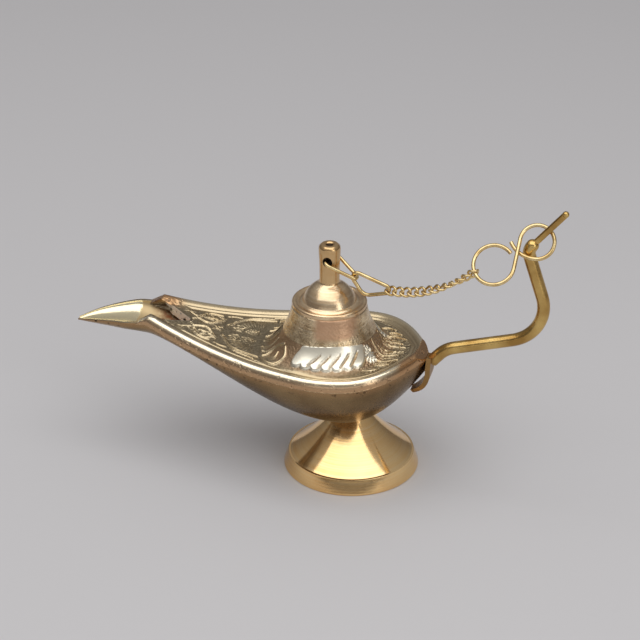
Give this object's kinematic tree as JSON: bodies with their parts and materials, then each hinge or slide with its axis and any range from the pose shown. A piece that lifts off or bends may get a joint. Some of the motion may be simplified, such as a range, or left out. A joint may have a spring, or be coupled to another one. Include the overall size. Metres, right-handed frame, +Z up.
{
  "type": "oil lamp",
  "caption": "Brass oil lamp with a boat-shaped body, open pouring beak, turned foot, bent rod handle and a lift-off lid tied to the handle by a chain.",
  "frame": {"origin": "centre of the ring that the foot rests on", "axes": "+X from the beak towards the handle, +Y away from the side that the chain leans to, +Z up"},
  "size_m": [0.1502, 0.0494, 0.0922],
  "materials": {
    "cast_brass": "antique cast, rubbed bright on the high places",
    "polished_brass": "turned and polished",
    "amber_brass": "satin",
    "lid_brass": "turned, satin",
    "wire_brass": "drawn wire"
  },
  "bodies": {
    "lamp": {"lower_shell": "cast_brass", "upper_shell": "cast_brass", "foot": "polished_brass", "handle": "amber_brass"},
    "lid": {"lid": "lid_brass"},
    "stem_loop": {"stem_loop": "wire_brass"},
    "long_link": {"long_link": "wire_brass"},
    "chain_front": {"curb_link_01": "wire_brass", "curb_link_02": "wire_brass", "curb_link_03": "wire_brass", "curb_link_04": "wire_brass"},
    "chain_middle": {"curb_link_05": "wire_brass", "curb_link_06": "wire_brass", "curb_link_07": "wire_brass", "curb_link_08": "wire_brass"},
    "chain_rear": {"curb_link_09": "wire_brass", "curb_link_10": "wire_brass", "curb_link_11": "wire_brass", "curb_link_12": "wire_brass", "curb_link_13": "wire_brass"},
    "figure_eight_hook": {"figure_eight_hook": "wire_brass"}
  },
  "joints": [
    {"name": "lid_lift", "type": "slide", "parent": "lamp", "child": "lid", "axis": [0, 0, 1], "range_m": [0, 0.01]},
    {"name": "stem_loop_swing", "type": "hinge", "parent": "lid", "child": "stem_loop", "pos_m": [-0.007, 0, 0.069], "axis": [-0.1828, -0.9832, 0], "range_deg": [-6.17, 0]},
    {"name": "long_link_swing", "type": "hinge", "parent": "stem_loop", "child": "long_link", "pos_m": [0.00107, -0.0015, 0.06463], "axis": [-0.1828, -0.9832, 0], "range_deg": [-11.98, 0]},
    {"name": "chain_front_swing", "type": "hinge", "parent": "long_link", "child": "chain_front", "pos_m": [0.01127, -0.0034, 0.06242], "axis": [-0.1828, -0.9832, 0], "range_deg": [0, 3.16]},
    {"name": "chain_middle_swing", "type": "hinge", "parent": "chain_front", "child": "chain_middle", "pos_m": [0.02046, -0.00511, 0.06377], "axis": [-0.1828, -0.9832, 0], "range_deg": [0, 2.28]},
    {"name": "chain_rear_swing", "type": "hinge", "parent": "chain_middle", "child": "chain_rear", "pos_m": [0.02904, -0.0067, 0.06743], "axis": [-0.1828, -0.9832, 0], "range_deg": [0, 2.12]},
    {"name": "figure_eight_hook_swing", "type": "hinge", "parent": "chain_rear", "child": "figure_eight_hook", "pos_m": [0.03788, -0.00834, 0.07401], "axis": [-0.1828, -0.9832, 0], "range_deg": [0, 10.7]}
  ],
  "couplings": [
    {"joint": "stem_loop_swing", "follows": "lid_lift", "rad_per_m": -10.472},
    {"joint": "long_link_swing", "follows": "lid_lift", "rad_per_m": -20.415},
    {"joint": "chain_front_swing", "follows": "lid_lift", "rad_per_m": 5.3149},
    {"joint": "chain_middle_swing", "follows": "lid_lift", "rad_per_m": 3.8124},
    {"joint": "chain_rear_swing", "follows": "lid_lift", "rad_per_m": 3.5355},
    {"joint": "figure_eight_hook_swing", "follows": "lid_lift", "rad_per_m": 18.224}
  ]
}
